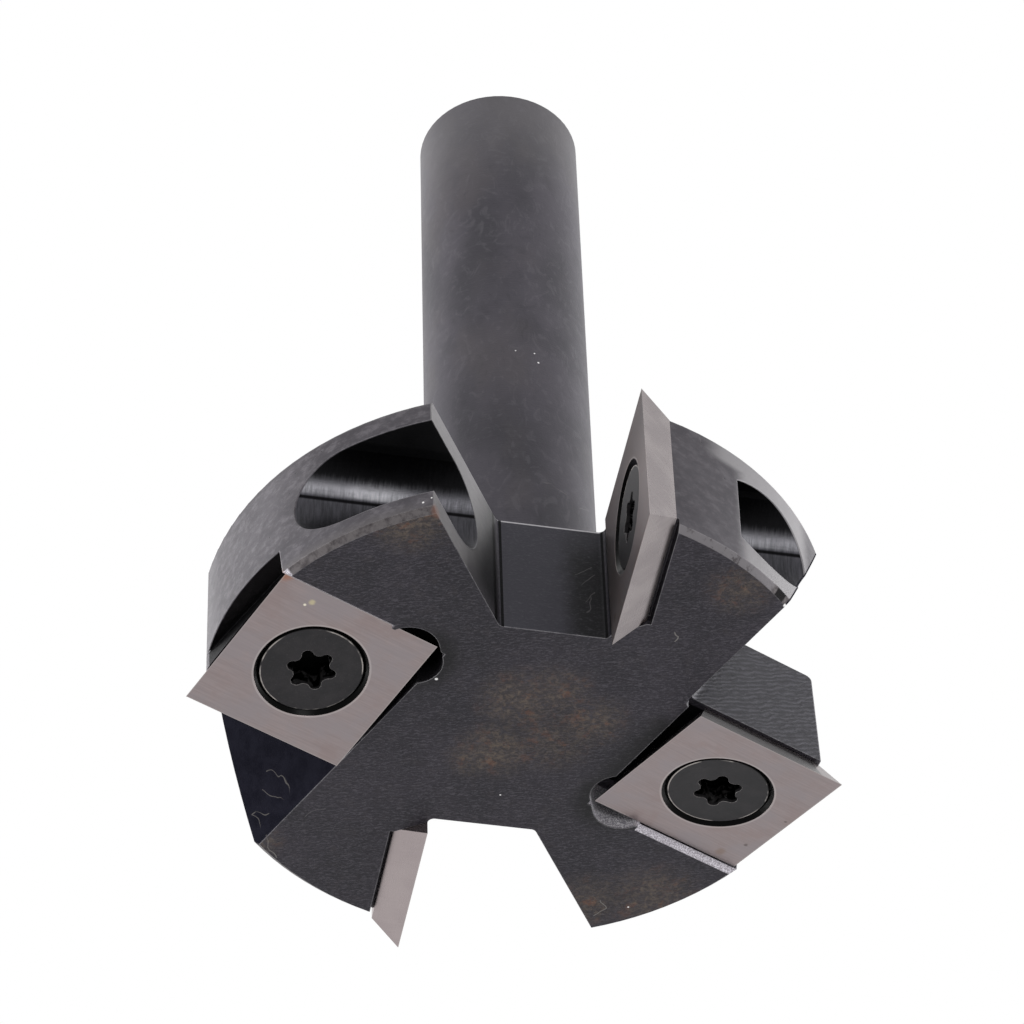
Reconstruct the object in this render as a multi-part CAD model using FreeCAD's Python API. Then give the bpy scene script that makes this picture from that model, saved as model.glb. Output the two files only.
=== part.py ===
import FreeCAD, Part
import math
import os

# Surfacing router bit with two standing side inserts and two flat face inserts.
# Millimetres. The cutting plane is z = 0 and the shank points up +Z.
# Each insert is drawn in the frame of its own station: x outward, y towards
# the trailing side, z up. Stations are then turned about the bit's axis.

V = FreeCAD.Vector
X_AXIS = V(1, 0, 0)
Y_AXIS = V(0, 1, 0)
Z_AXIS = V(0, 0, 1)
ORIGIN = V(0, 0, 0)

# Whole tool
STATION_PAIR = (("a", 0.0), ("b", 180.0))
SIDE_SCREW_TURNS = {"a": 12.0, "b": 40.0}
FACE_SCREW_TURNS = {"a": 7.0, "b": 46.0}
OVERALL_LENGTH = 62.6
SHANK_DIAMETER = 12.0
SHANK_END_CHAMFER = 0.45
SHANK_ROOT_RADIUS = 1.0
HEAD_DIAMETER = 43.0
HEAD_THICKNESS = 10.1
HEAD_RIM_CHAMFER = 0.4
HEAD_TOP_ROUND = 0.4
HEAD_TAPER_DEG = 1.7
EDGE_PROJECTION = 1.0
REACH = 40.0
CUT_OVERLAP = 0.5
EDGE_MATCH = 0.01

HEAD_RADIUS = HEAD_DIAMETER / 2
SHANK_RADIUS = SHANK_DIAMETER / 2
HEAD_BOTTOM = EDGE_PROJECTION
HEAD_TOP = HEAD_BOTTOM + HEAD_THICKNESS
RIM_LOW = HEAD_BOTTOM + HEAD_RIM_CHAMFER
RIM_HIGH = HEAD_TOP - HEAD_TOP_ROUND
RIM_LOW_RADIUS = HEAD_RADIUS - (RIM_HIGH - RIM_LOW) * math.tan(math.radians(HEAD_TAPER_DEG))

# Square insert with bevelled sides and a countersunk hole
INSERT_SIDE = 12.0
INSERT_THICKNESS = 2.1
INSERT_BEVEL_DEG = 32.0
INSERT_HOLE_DIAMETER = 4.3
COUNTERSINK_DIAMETER = 7.7
COUNTERSINK_DEG = 90.0

INSERT_INSET = INSERT_THICKNESS * math.tan(math.radians(INSERT_BEVEL_DEG))

# Countersunk screw with a six-lobe socket
SCREW_DIAMETER = 4.0
SCREW_HEAD_DIAMETER = 7.1
SCREW_HEAD_LAND = 0.12
SCREW_TIP_CHAMFER = 0.5
SIDE_SCREW_LENGTH = 6.8
FACE_SCREW_LENGTH = 8.0
SOCKET_OUTER_DIAMETER = 3.4
SOCKET_INNER_DIAMETER = 2.44
SOCKET_LOBE_RADIUS = 0.4
SOCKET_DEPTH = 1.8
SOCKET_LOBES = 6

# Clearances between mating pieces
HEAD_SEAT_CLEARANCE = 0.01
THREAD_CLEARANCE = 0.02
POCKET_SIDE_CLEARANCE = 0.05

# Side station: the insert stands on edge in a through notch
SIDE_STATION_DEG = -78.19
SIDE_EDGE_OVERHANG = 0.9
SIDE_RAKE_OFFSET = 4.4
NOTCH_FLOOR_GAP = 0.46
NOTCH_FLOOR_LEAD = 3.0
NOTCH_FLARE_DEG = 32.0
NOTCH_CORNER_RADIUS = 0.45
SEAT_RELIEF_DEPTH = 0.3
SEAT_RELIEF_HEIGHT = 0.9
DRIVER_SLOT_WIDTH = 6.6
BACK_BORE_DIAMETER = 6.6
BACK_BORE_START = 7.1

SIDE_EDGE_RADIUS = HEAD_RADIUS + SIDE_EDGE_OVERHANG
SIDE_INSERT_OUTER = math.sqrt(SIDE_EDGE_RADIUS ** 2 - SIDE_RAKE_OFFSET ** 2)
SIDE_INSERT_INNER = SIDE_INSERT_OUTER - INSERT_SIDE
NOTCH_FLOOR = SIDE_INSERT_INNER - NOTCH_FLOOR_GAP
SIDE_SEAT = SIDE_RAKE_OFFSET + INSERT_THICKNESS
SIDE_CENTRE_X = SIDE_INSERT_OUTER - INSERT_SIDE / 2
SIDE_CENTRE_Z = INSERT_SIDE / 2

# Face station: the insert lies on the cutting face, tilted for clearance
FACE_STATION_DEG = 36.53
FACE_CORNER_OVERHANG = 1.0
FACE_LEAD_OFFSET = 8.79
FACE_TILT_DEG = 7.08
FACE_POCKET_INNER_GAP = 0.55
FACE_POCKET_LEAD_GAP = 0.4
FACE_WALL_CHAMFER = 0.4
FACE_RELIEF_START = 0.4
CORNER_MILL_DIAMETER = 4.0
CORNER_MILL_DEPTH = 1.0
CORNER_MILL_PATH = ((0.8, -1.7), (1.7, -0.8))

FACE_CORNER_RADIUS = HEAD_RADIUS + FACE_CORNER_OVERHANG
FACE_INSERT_OUTER = math.sqrt(FACE_CORNER_RADIUS ** 2 - FACE_LEAD_OFFSET ** 2)
FACE_INSERT_INNER = FACE_INSERT_OUTER - INSERT_SIDE
FACE_POCKET_INNER = FACE_INSERT_INNER - FACE_POCKET_INNER_GAP
FACE_TRAIL_Y = INSERT_SIDE * math.cos(math.radians(FACE_TILT_DEG)) - FACE_LEAD_OFFSET

# Gullet ahead of each face insert, one ground a little deeper than the other
GULLET_SET_BACK = {"a": 0.43, "b": 0.0}
GULLET_SIDE_LEAN_DEG = 28.0
GULLET_LEAD_WALL = 8.2
GULLET_LEAD_LEAN_DEG = 5.0
GULLET_ROOT_RADIUS = 0.5


def turned(shape, degrees):
    """Turn a shape about the bit's axis."""
    copy = shape.copy()
    copy.rotate(ORIGIN, Z_AXIS, degrees)
    return copy


def prism_z(points, z_low, z_high):
    """Upright prism over a closed outline of (x, y) points."""
    loop = [V(x, y, z_low) for x, y in points]
    wire = Part.makePolygon(loop + [loop[0]])
    return Part.Face(wire).extrude(V(0, 0, z_high - z_low))


def face_frame():
    """Placement of the tilted insert: x outward, y trailing along the face, z into the body."""
    tilt = FreeCAD.Rotation(X_AXIS, FACE_TILT_DEG)
    return FreeCAD.Placement(V(FACE_INSERT_INNER, -FACE_LEAD_OFFSET, 0), tilt)


def side_frame():
    """Placement of the standing insert: its flat face looks forward, z runs back into the body."""
    stand = FreeCAD.Rotation(X_AXIS, -90)
    return FreeCAD.Placement(V(SIDE_INSERT_INNER, SIDE_RAKE_OFFSET, INSERT_SIDE), stand)


def placed(shape, placement):
    """Copy of a shape moved by a placement."""
    copy = shape.copy()
    copy.Placement = placement.multiply(copy.Placement)
    return copy


# Insert

def square_loop(size, inset, z):
    low = inset
    high = size - inset
    corners = [V(low, low, z), V(high, low, z), V(high, high, z), V(low, high, z)]
    return Part.makePolygon(corners + [corners[0]])


def insert_shape():
    """Large face at z = 0, smaller base at z = thickness, hole through the middle."""
    loops = [square_loop(INSERT_SIDE, 0, 0), square_loop(INSERT_SIDE, INSERT_INSET, INSERT_THICKNESS)]
    body = Part.makeLoft(loops, True, True)
    middle = V(INSERT_SIDE / 2, INSERT_SIDE / 2, 0)
    hole = Part.makeCylinder(INSERT_HOLE_DIAMETER / 2, INSERT_THICKNESS, middle)
    depth = countersink_depth(INSERT_HOLE_DIAMETER)
    cone = Part.makeCone(COUNTERSINK_DIAMETER / 2, INSERT_HOLE_DIAMETER / 2, depth, middle)
    return body.cut(hole.fuse(cone)).removeSplitter()


def countersink_depth(diameter):
    """Depth below the large face where the countersink has this diameter."""
    half = math.radians(COUNTERSINK_DEG / 2)
    return (COUNTERSINK_DIAMETER - diameter) / 2 / math.tan(half)


# Screw

def socket_face():
    """Six-lobe outline made of tangent arcs."""
    lobe = SOCKET_LOBE_RADIUS
    lobe_centre = SOCKET_OUTER_DIAMETER / 2 - lobe
    neck = SOCKET_INNER_DIAMETER / 2
    half = math.pi / SOCKET_LOBES
    gap = neck - lobe
    hollow_centre = (lobe_centre ** 2 - gap ** 2) / (2 * (lobe_centre * math.cos(half) - gap))
    hollow = hollow_centre - neck
    edges = []
    for i in range(SOCKET_LOBES):
        mid = 2 * half * i
        centre = V(lobe_centre * math.cos(mid), lobe_centre * math.sin(mid), 0)
        tip = V((lobe_centre + lobe) * math.cos(mid), (lobe_centre + lobe) * math.sin(mid), 0)
        joins = []
        for side in (-half, half):
            far = V(hollow_centre * math.cos(mid + side), hollow_centre * math.sin(mid + side), 0)
            joins.append(centre + (far - centre) * (lobe / (lobe + hollow)))
        edges.append(Part.Arc(joins[0], tip, joins[1]).toShape())
        turn = FreeCAD.Rotation(Z_AXIS, math.degrees(2 * half))
        neck_mid = V(neck * math.cos(mid + half), neck * math.sin(mid + half), 0)
        edges.append(Part.Arc(joins[1], neck_mid, turn.multVec(joins[0])).toShape())
    return Part.Face(Part.Wire(edges))


def screw_shape(length):
    """Head top looks to -z, as in the insert's frame; the axis is the z axis."""
    head = SCREW_HEAD_DIAMETER / 2
    shaft = SCREW_DIAMETER / 2 - THREAD_CLEARANCE
    top = countersink_depth(SCREW_HEAD_DIAMETER) - HEAD_SEAT_CLEARANCE - SCREW_HEAD_LAND
    half = math.tan(math.radians(COUNTERSINK_DEG / 2))
    under = top + SCREW_HEAD_LAND + (head - shaft) / half
    tip = length
    outline = [
        V(0, 0, top),
        V(head - SCREW_HEAD_LAND, 0, top),
        V(head, 0, top + SCREW_HEAD_LAND),
        V(shaft, 0, under),
        V(shaft, 0, tip - SCREW_TIP_CHAMFER),
        V(shaft - SCREW_TIP_CHAMFER, 0, tip),
        V(0, 0, tip),
    ]
    profile = Part.Face(Part.makePolygon(outline + [outline[0]]))
    body = profile.revolve(ORIGIN, Z_AXIS, 360)
    socket = socket_face()
    socket.translate(V(0, 0, top))
    return body.cut(socket.extrude(V(0, 0, SOCKET_DEPTH)))


def screw_in_insert(length, turn):
    """Screw in the insert's hole, its socket left at the angle where it came to rest."""
    screw = turned(screw_shape(length), turn)
    screw.translate(V(INSERT_SIDE / 2, INSERT_SIDE / 2, 0))
    return screw


# Cutter body

def turned_blank():
    """Shank and disc head turned from one bar; the rim narrows slightly towards the cutting face."""
    points = [
        V(0, 0, HEAD_BOTTOM),
        V(RIM_LOW_RADIUS - HEAD_RIM_CHAMFER, 0, HEAD_BOTTOM),
        V(RIM_LOW_RADIUS, 0, RIM_LOW),
        V(HEAD_RADIUS, 0, RIM_HIGH),
        V(HEAD_RADIUS - HEAD_TOP_ROUND, 0, HEAD_TOP),
        V(SHANK_RADIUS + SHANK_ROOT_RADIUS, 0, HEAD_TOP),
        V(SHANK_RADIUS, 0, HEAD_TOP + SHANK_ROOT_RADIUS),
        V(SHANK_RADIUS, 0, OVERALL_LENGTH - SHANK_END_CHAMFER),
        V(SHANK_RADIUS - SHANK_END_CHAMFER, 0, OVERALL_LENGTH),
        V(0, 0, OVERALL_LENGTH),
    ]
    rim = HEAD_TOP_ROUND * (1 - math.sqrt(0.5))
    root = SHANK_ROOT_RADIUS * (1 - math.sqrt(0.5))
    arc_middles = {
        3: V(HEAD_RADIUS - rim, 0, HEAD_TOP - rim),
        5: V(SHANK_RADIUS + root, 0, HEAD_TOP + root),
    }
    edges = []
    for i, start in enumerate(points):
        end = points[(i + 1) % len(points)]
        if i in arc_middles:
            edges.append(Part.Arc(start, arc_middles[i], end).toShape())
        else:
            edges.append(Part.LineSegment(start, end).toShape())
    return Part.Face(Part.Wire(edges)).revolve(ORIGIN, Z_AXIS, 360)


def side_notch():
    """Through notch: square floor behind the rake face, flared wall on the leading side."""
    flare = math.radians(NOTCH_FLARE_DEG)
    outline = [
        (NOTCH_FLOOR, SIDE_RAKE_OFFSET),
        (NOTCH_FLOOR, -NOTCH_FLOOR_LEAD),
        (NOTCH_FLOOR + REACH * math.cos(flare), -NOTCH_FLOOR_LEAD - REACH * math.sin(flare)),
        (NOTCH_FLOOR + REACH, SIDE_RAKE_OFFSET),
    ]
    notch = prism_z(outline, -EDGE_PROJECTION, HEAD_TOP + EDGE_PROJECTION)
    floor_edges = [e for e in notch.Edges if upright_at(e, NOTCH_FLOOR)]
    return notch.makeFillet(NOTCH_CORNER_RADIUS, floor_edges)


def upright_at(edge, x):
    """True for a vertical edge that lies at this x."""
    first, last = edge.Vertexes[0].Point, edge.Vertexes[-1].Point
    upright = abs(first.z - last.z) > HEAD_THICKNESS / 2
    return upright and abs(first.x - x) < EDGE_MATCH and abs(last.x - x) < EDGE_MATCH


def side_pocket():
    """Slot that takes the insert's thickness, its end sloped like the insert's bevel, and a relief below."""
    inner = SIDE_INSERT_INNER - POCKET_SIDE_CLEARANCE
    outline = [
        (inner, SIDE_RAKE_OFFSET - CUT_OVERLAP),
        (inner, SIDE_RAKE_OFFSET),
        (inner + INSERT_INSET, SIDE_SEAT),
        (inner + REACH, SIDE_SEAT),
        (inner + REACH, SIDE_RAKE_OFFSET - CUT_OVERLAP),
    ]
    slot = prism_z(outline, -EDGE_PROJECTION, HEAD_TOP + EDGE_PROJECTION)
    relief = Part.makeBox(REACH, SEAT_RELIEF_DEPTH + CUT_OVERLAP, SEAT_RELIEF_HEIGHT + EDGE_PROJECTION)
    relief.translate(V(inner + INSERT_INSET, SIDE_SEAT - CUT_OVERLAP, HEAD_BOTTOM - EDGE_PROJECTION))
    return slot.fuse(relief)


def driver_slot():
    """Round-ended slot through the lobe ahead, in line with the screw, for the driver."""
    half = DRIVER_SLOT_WIDTH / 2
    start = V(SIDE_CENTRE_X, 0, SIDE_CENTRE_Z)
    bore = Part.makeCylinder(half, REACH, start, V(0, -1, 0))
    mouth = Part.makeBox(REACH, REACH, DRIVER_SLOT_WIDTH)
    mouth.translate(V(SIDE_CENTRE_X, -REACH, SIDE_CENTRE_Z - half))
    return bore.fuse(mouth)


def side_holes():
    """Tapped hole for the side screw and the bore behind it."""
    start = V(SIDE_CENTRE_X, SIDE_RAKE_OFFSET, SIDE_CENTRE_Z)
    tapped = Part.makeCylinder(SCREW_DIAMETER / 2, BACK_BORE_START + CUT_OVERLAP, start, Y_AXIS)
    back = V(SIDE_CENTRE_X, SIDE_RAKE_OFFSET + BACK_BORE_START, SIDE_CENTRE_Z)
    bore = Part.makeCylinder(BACK_BORE_DIAMETER / 2, REACH / 2, back, Y_AXIS)
    return tapped.fuse(bore)


def gullet(set_back):
    """Chip space ahead of the face insert: one wall under its edge, one leaning wall beside it."""
    low = HEAD_BOTTOM - EDGE_PROJECTION
    high = HEAD_TOP + EDGE_PROJECTION
    side = math.tan(math.radians(GULLET_SIDE_LEAN_DEG))
    lead = math.tan(math.radians(GULLET_LEAD_LEAN_DEG))
    wires = []
    for z in (low, high):
        x = FACE_POCKET_INNER - set_back + (z - HEAD_BOTTOM) * side
        y = -GULLET_LEAD_WALL + (z - HEAD_BOTTOM) * lead
        loop = [V(x, y, z), V(REACH, y, z), V(REACH, -REACH, z), V(x, -REACH, z)]
        wires.append(Part.makePolygon(loop + [loop[0]]))
    body = Part.makeLoft(wires, True, True)
    root = [e for e in body.Edges if rises_from_root(e)]
    return body.makeFillet(GULLET_ROOT_RADIUS, root)


def rises_from_root(edge):
    """True for the corner line between the gullet's two walls."""
    ends = [v.Point for v in edge.Vertexes]
    rises = abs(ends[0].z - ends[-1].z) > HEAD_THICKNESS / 2
    return rises and max(p.x for p in ends) < REACH / 2 and min(p.y for p in ends) > -REACH / 2


def face_pocket():
    """Tilted seat with an inner wall and a trailing wall, open to the rim."""
    length = INSERT_SIDE + FACE_POCKET_LEAD_GAP + POCKET_SIDE_CLEARANCE
    seat = Part.makeBox(REACH, length, REACH)
    seat.translate(V(-FACE_POCKET_INNER_GAP, -FACE_POCKET_LEAD_GAP, INSERT_THICKNESS - REACH))
    return placed(seat, face_frame())


def face_relief():
    """Level clearance beyond the insert's base, as high as the seat at its trailing wall."""
    tilt = math.radians(FACE_TILT_DEG)
    run = INSERT_SIDE + POCKET_SIDE_CLEARANCE
    top = run * math.sin(tilt) + INSERT_THICKNESS * math.cos(tilt)
    trail = run * math.cos(tilt) - INSERT_THICKNESS * math.sin(tilt) - FACE_LEAD_OFFSET
    relief = Part.makeBox(REACH, REACH, top)
    relief.translate(V(FACE_INSERT_OUTER - INSERT_INSET + FACE_RELIEF_START, trail - REACH, 0))
    return relief


def face_wall_chamfer():
    """Filed mouth of the trailing wall on the cutting face."""
    tilt = math.radians(FACE_TILT_DEG)
    mouth_y = FACE_TRAIL_Y + POCKET_SIDE_CLEARANCE * math.cos(tilt)
    start_x = FACE_INSERT_INNER + CORNER_MILL_PATH[1][0] + CORNER_MILL_DIAMETER / 2
    leg = FACE_WALL_CHAMFER
    points = [
        V(start_x, mouth_y - leg, HEAD_BOTTOM - leg),
        V(start_x, mouth_y + 2 * leg, HEAD_BOTTOM - leg),
        V(start_x, mouth_y - leg, HEAD_BOTTOM + 2 * leg),
    ]
    wedge = Part.Face(Part.makePolygon(points + [points[0]]))
    return wedge.extrude(V(REACH, 0, 0))


def corner_relief():
    """Milled clearance where the pocket's two walls would meet."""
    radius = CORNER_MILL_DIAMETER / 2
    tilt = math.radians(FACE_TILT_DEG)
    (x0, y0), (x1, y1) = [(FACE_INSERT_INNER + x, FACE_TRAIL_Y + y) for x, y in CORNER_MILL_PATH]
    seat_z = (y1 + FACE_LEAD_OFFSET) * math.tan(tilt) + INSERT_THICKNESS / math.cos(tilt)
    height = seat_z + CORNER_MILL_DEPTH
    first = Part.makeCylinder(radius, height, V(x0, y0, 0))
    second = Part.makeCylinder(radius, height, V(x1, y1, 0))
    run = math.hypot(x1 - x0, y1 - y0)
    nx, ny = -(y1 - y0) / run * radius, (x1 - x0) / run * radius
    outline = [(x0 + nx, y0 + ny), (x1 + nx, y1 + ny), (x1 - nx, y1 - ny), (x0 - nx, y0 - ny)]
    return first.fuse(prism_z(outline, 0, height)).fuse(second)


def face_hole():
    """Tapped hole through the disc, square to the tilted seat."""
    hole = Part.makeCylinder(SCREW_DIAMETER / 2, REACH / 2, V(INSERT_SIDE / 2, INSERT_SIDE / 2, 0))
    return placed(hole, face_frame())


def cutter_body():
    side_cuts = [side_notch(), side_pocket(), driver_slot(), side_holes()]
    face_cuts = [face_pocket(), face_relief(), face_wall_chamfer(), corner_relief(), face_hole()]
    body = turned_blank()
    for name, half_turn in STATION_PAIR:
        for cut in side_cuts:
            body = body.cut(turned(cut, SIDE_STATION_DEG + half_turn))
        for cut in [gullet(GULLET_SET_BACK[name])] + face_cuts:
            body = body.cut(turned(cut, FACE_STATION_DEG + half_turn))
    return body.removeSplitter()


def main():
    os.makedirs("parts", exist_ok=True)
    nodes = {"cutter_body": cutter_body()}
    for name, half_turn in STATION_PAIR:
        side_turn = SIDE_STATION_DEG + half_turn
        face_turn = FACE_STATION_DEG + half_turn
        nodes["side_insert_" + name] = turned(placed(insert_shape(), side_frame()), side_turn)
        nodes["face_insert_" + name] = turned(placed(insert_shape(), face_frame()), face_turn)
        side_screw = screw_in_insert(SIDE_SCREW_LENGTH, SIDE_SCREW_TURNS[name])
        face_screw = screw_in_insert(FACE_SCREW_LENGTH, FACE_SCREW_TURNS[name])
        nodes["side_screw_" + name] = turned(placed(side_screw, side_frame()), side_turn)
        nodes["face_screw_" + name] = turned(placed(face_screw, face_frame()), face_turn)
    for name, shape in nodes.items():
        shape.exportStep("parts/" + name + ".step")


main()
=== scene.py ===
import bpy
import math
from mathutils import Matrix, Vector

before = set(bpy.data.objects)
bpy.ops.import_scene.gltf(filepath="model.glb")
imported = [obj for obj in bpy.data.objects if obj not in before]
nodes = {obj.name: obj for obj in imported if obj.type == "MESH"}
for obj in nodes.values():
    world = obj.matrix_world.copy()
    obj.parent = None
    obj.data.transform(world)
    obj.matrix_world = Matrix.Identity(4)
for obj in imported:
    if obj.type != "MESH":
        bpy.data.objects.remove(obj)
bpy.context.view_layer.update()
scene = bpy.context.scene

MM = 0.001
MM_PER_M = 1000.0


# Sizes of the CAD that the looks follow, in millimetres. A station is the place of one insert: its x runs
# outwards, its y trails the cut and its z runs up the shank. Stations a and b are half a turn apart, so
# both read the same here, and the sign of the station's x tells them apart.

HEAD_BOTTOM = 1.0
HEAD_TOP = 11.1
SHANK_END = 62.0
RIM_HIGH = 10.7
RIM_HIGH_RADIUS = 21.5
RIM_TAPER = math.tan(math.radians(1.7))
CHAMFER_TOP = 1.4
CHAMFER_RADIUS = 20.8
SIDE_DEG = -78.19
SIDE_AXIS_X = 15.964
SIDE_AXIS_Z = 6.0
BORE_RADIUS = 3.3
NOTCH_FLOOR = 9.504
NOTCH_LEAD = 3.0
NOTCH_FLARE = math.radians(32)
RAKE = 4.4
FACE_DEG = 36.53
FACE_INNER = 8.712
FACE_LEAD = 8.79
FACE_TILT = math.radians(7.08)
GULLET_X_A = 7.73
GULLET_X_B = 8.16
GULLET_LEAN = math.tan(math.radians(28))
GULLET_LEAD = 8.2
GULLET_LEAD_LEAN = math.tan(math.radians(5))
WALL_Y = 3.168
POCKET_CORNER = (9.5, 1.9, 0.0)
INSERT = 12.0
COUNTERSINK_RADIUS = 3.85
SCREW_HEAD_RADIUS = 3.55
SOCKET_RADII = (2.0, 1.9)

# Ends of the masks. Of two numbers, a mask is 0 at the first and 1 at the second. Of three, it is 1 from
# the first to the second and fades over the third. Rises are the z part of the surface's normal.
NEAR_SOFT = 0.3
UPRIGHT_RISE = (0.35, 0.25)
BOTTOM_RISE = (-0.85, -0.95)
BOTTOM_Z = (HEAD_BOTTOM + 0.08, HEAD_BOTTOM + 0.04)
CHAMFER_RISE = (-0.9, -0.8)
CHAMFER_Z = (CHAMFER_TOP + 0.06, CHAMFER_TOP)
CHAMFER_RADII = (CHAMFER_RADIUS - 0.04, CHAMFER_RADIUS + 0.04)
ON_RIM = (0.11, 0.07)
BELOW_RIM = (0.07, 0.12)
RIM_Z = (CHAMFER_TOP - 0.04, CHAMFER_TOP + 0.02)
SHANK_Z = (HEAD_TOP, HEAD_TOP + 0.1)
ROUND_SHANK_Z = (HEAD_TOP + 1.2, SHANK_END, 0.05)
ROOT_RADII = (7.4, 7.0)

BORE_WIDTH = 0.08
FLATS_WIDTH = 0.05
FLATS_X = (-0.1, 0.0)
FLATS_UPRIGHT = (0.5, 0.4)
FLARE_WIDTH = 0.08
FLARE_X = (9.6, 9.95)
NOTCH_INNER_X = (9.2, 9.35)
NOTCH_OUTER_X = (12.0, 11.8)
NOTCH_Y = (-4.2, 7.0, 0.1)
NOTCH_Z = (HEAD_TOP + 0.1, HEAD_TOP)
FLOOR_X = (NOTCH_FLOOR + 0.056, NOTCH_FLOOR + 0.026)
FLOOR_EDGE_Z = (HEAD_TOP - 0.14, HEAD_TOP - 0.09)
SEAT_Y = (0.0, 1.0)
SEAT_LINES_X = ((9.53, 9.63, 0.02), (9.84, 9.99, 0.03))
FLARE_LINE_X = (9.9, 10.22, 0.05)
FLARE_LINE_Y = (-2.9, -2.7, 0.02)
CORNER_X = (10.6, 10.5)

FACET_WIDTH = 0.12
FACET_Z = (HEAD_BOTTOM + 0.03, HEAD_BOTTOM + 0.06)
SIDE_FACET_Y = (-6.6, -6.9)
LEAD_FACET_X = (8.4, 8.7)
# Where pocket b's lower leaning wall gets painted light
BARE_EDGE_Y = (0.6, -1.2)
BARE_EDGE_Z = (3.0, 2.6)
STRIP_Y = WALL_Y + 0.2
STRIP_WIDTH = 0.28
STRIP_X = (12.2, 12.3)
STRIP_Z = (CHAMFER_TOP + 0.06, CHAMFER_TOP + 0.02)
STRIP_RISES = ((-0.95, -0.85), (-0.2, -0.35))
POCKET_X = (7.3, 7.5)
POCKET_Y = (-7.5, 3.3, 0.03)
POCKET_Z = (HEAD_BOTTOM + 0.07, 4.6, 0.02)
POCKET_DEEP = (HEAD_BOTTOM, HEAD_BOTTOM + 2.0)
MILL_X = (12.7, 12.5)
MILL_Y = (2.3, 4.5, 0.3)
BOWL_X = (11.6, 11.3)
BOWL_Y = (-0.9, -0.6)
BOWL_Z = (3.4, HEAD_BOTTOM)
STEP_Y = (-7.3, -7.45)
STEP_Z = (2.6, 4.9, 0.1)
STEP_RISE = (-0.4, -0.6)
BORDER_START_X = (GULLET_X_A - 1.7, GULLET_X_A + 0.2)
BORDER_END_X = (9.0, 8.6)
BORDER_Y = (-6.6, 2.9, 0.8)
BORDER_CORNER_REACH = (3.6, 2.0)

# Heights of the bores' painted highlight band, of the painted shade on its roof and of the painted dark
# reflection line below it, and where the painted light falls
BAND_TOP_Z = (8.8, 8.0)
BAND_LOW_Z = (7.55, 7.75)
ROOF_Z = (8.0, 8.75)
LINE_Z = (7.3, 7.52, 0.06)
SLOT_LIGHT_IN_Y = (-14.2, -12.4)
SLOT_LIGHT_OUT_Y = (-11.4, -8.8)
BACK_LIGHT_Y = (0.0, 1.0)

# Stretches of the rim and chamfer, as turns about the shank
RIGHT_RIM = (math.radians(-66), math.radians(-60))
RIGHT_RIM_Y = (4.0, 0.0)
BEYOND_START = (math.radians(-47), math.radians(-43))
BEYOND_Z = (9.1, 9.8)
BEYOND_ARC = (math.radians(-51), math.radians(-24), 0.05)
BRIGHT_ARC = (math.radians(-60), math.radians(-36.4), 0.008)
BURR_ARC = (math.radians(-35.4), math.radians(-32.9), 0.004)
GREY_ARC = (math.radians(-101), math.radians(-112))
GREY_Z = (2.3, CHAMFER_TOP)

# The same on the inserts and screws
LARGE_FACE_W = (0.03, 0.01)
# Where a standing insert's painted shade runs
SIDE_FADE_V = (1.0, INSERT - 1.0)
LEAD_BEVEL_V = (1.2, 0.9)
LEAD_BEVEL_U = (10.4, 10.1)
HOLE_RADII = (COUNTERSINK_RADIUS + 0.02, COUNTERSINK_RADIUS - 0.01)
HOLE_W = (0.004, 0.02)
LIP_RADIUS = COUNTERSINK_RADIUS + 0.06
LIP_WIDTH = 0.06
HONED_EDGE = (INSERT / 2 - 0.08, INSERT / 2 - 0.04)
LINE_RADIUS = SCREW_HEAD_RADIUS - 0.15
LINE_WIDTH = 0.04
LINE_W = (0.32, 0.3)
GAP_RADII = (SCREW_HEAD_RADIUS - 0.11, SCREW_HEAD_RADIUS - 0.09)
GAP_W = (0.36, 0.5)
GLINT_W = (0.45, 1.6, 0.1)
SCREW_EDGE_W = (0.40, 0.34)

# Grain of the cutting face: its stretch, and the shift that gives it a painted highlight on one side and
# painted shade on the other
LEATHER_STRETCH = (2.8, 6.4, 6.4)
EMBOSS_SHIFT = (0.02, 0.06, 0.06)

# The chatter lines' direction on the lead facet, as a cosine and sine, and their waves per millimetre
CHATTER_COS = 0.861
CHATTER_SIN = 0.508
CHATTER_RATE = 17.0

BEVEL_SAMPLES = 6
BODY_EDGE = 0.13 * MM
SCREW_EDGE = 0.06 * MM
SPECULAR = 0.35

# Stains on the cutting face: place, reach and amount, in millimetres
STAINS = [
    ((0.2, -2.9), 2.8, 1.0), ((2.6, -3.6), 2.4, 0.9), ((-1.5, 1.8), 2.6, 1.0), ((5.0, -0.6), 2.4, 0.9),
    ((2.2, 1.0), 3.0, 0.6), ((7.6, -18.6), 2.4, 0.7), ((-6.6, -19.6), 2.6, 1.0), ((14.8, -12.6), 2.2, 0.8),
    ((4.7, 17.3), 2.6, 0.8), ((9.0, 17.3), 3.2, 0.9), ((-18.0, 10.2), 1.6, 0.8), ((-3.0, 2.6), 1.8, 0.9),
]

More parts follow.
